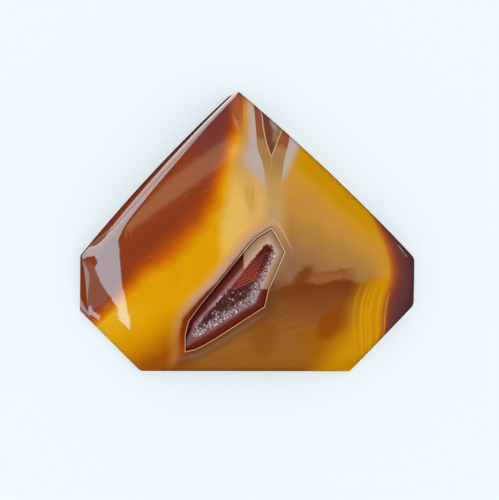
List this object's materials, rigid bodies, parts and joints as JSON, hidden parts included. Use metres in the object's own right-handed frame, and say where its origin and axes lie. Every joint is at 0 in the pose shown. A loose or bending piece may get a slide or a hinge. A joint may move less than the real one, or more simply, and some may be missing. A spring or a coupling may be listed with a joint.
{
  "type": "onyx agate cabochon",
  "caption": "Polished agate cut as a low-domed, many-sided freeform cabochon with a flat back and a small open pocket lined with quartz crystals.",
  "frame": {"origin": "on the flat back, under the middle of the outline's bounding box", "axes": "+Z out of the domed face, +Y towards the pointed apex, +X along the longest extent to the maroon end"},
  "size_m": [0.0478, 0.0392, 0.0065],
  "materials": {
    "polished_agate": "polished",
    "quartz_crystals": "glittering crystals"
  },
  "bodies": {
    "root": {"agate_stone": "polished_agate", "druzy_crust": "quartz_crystals"}
  },
  "joints": []
}
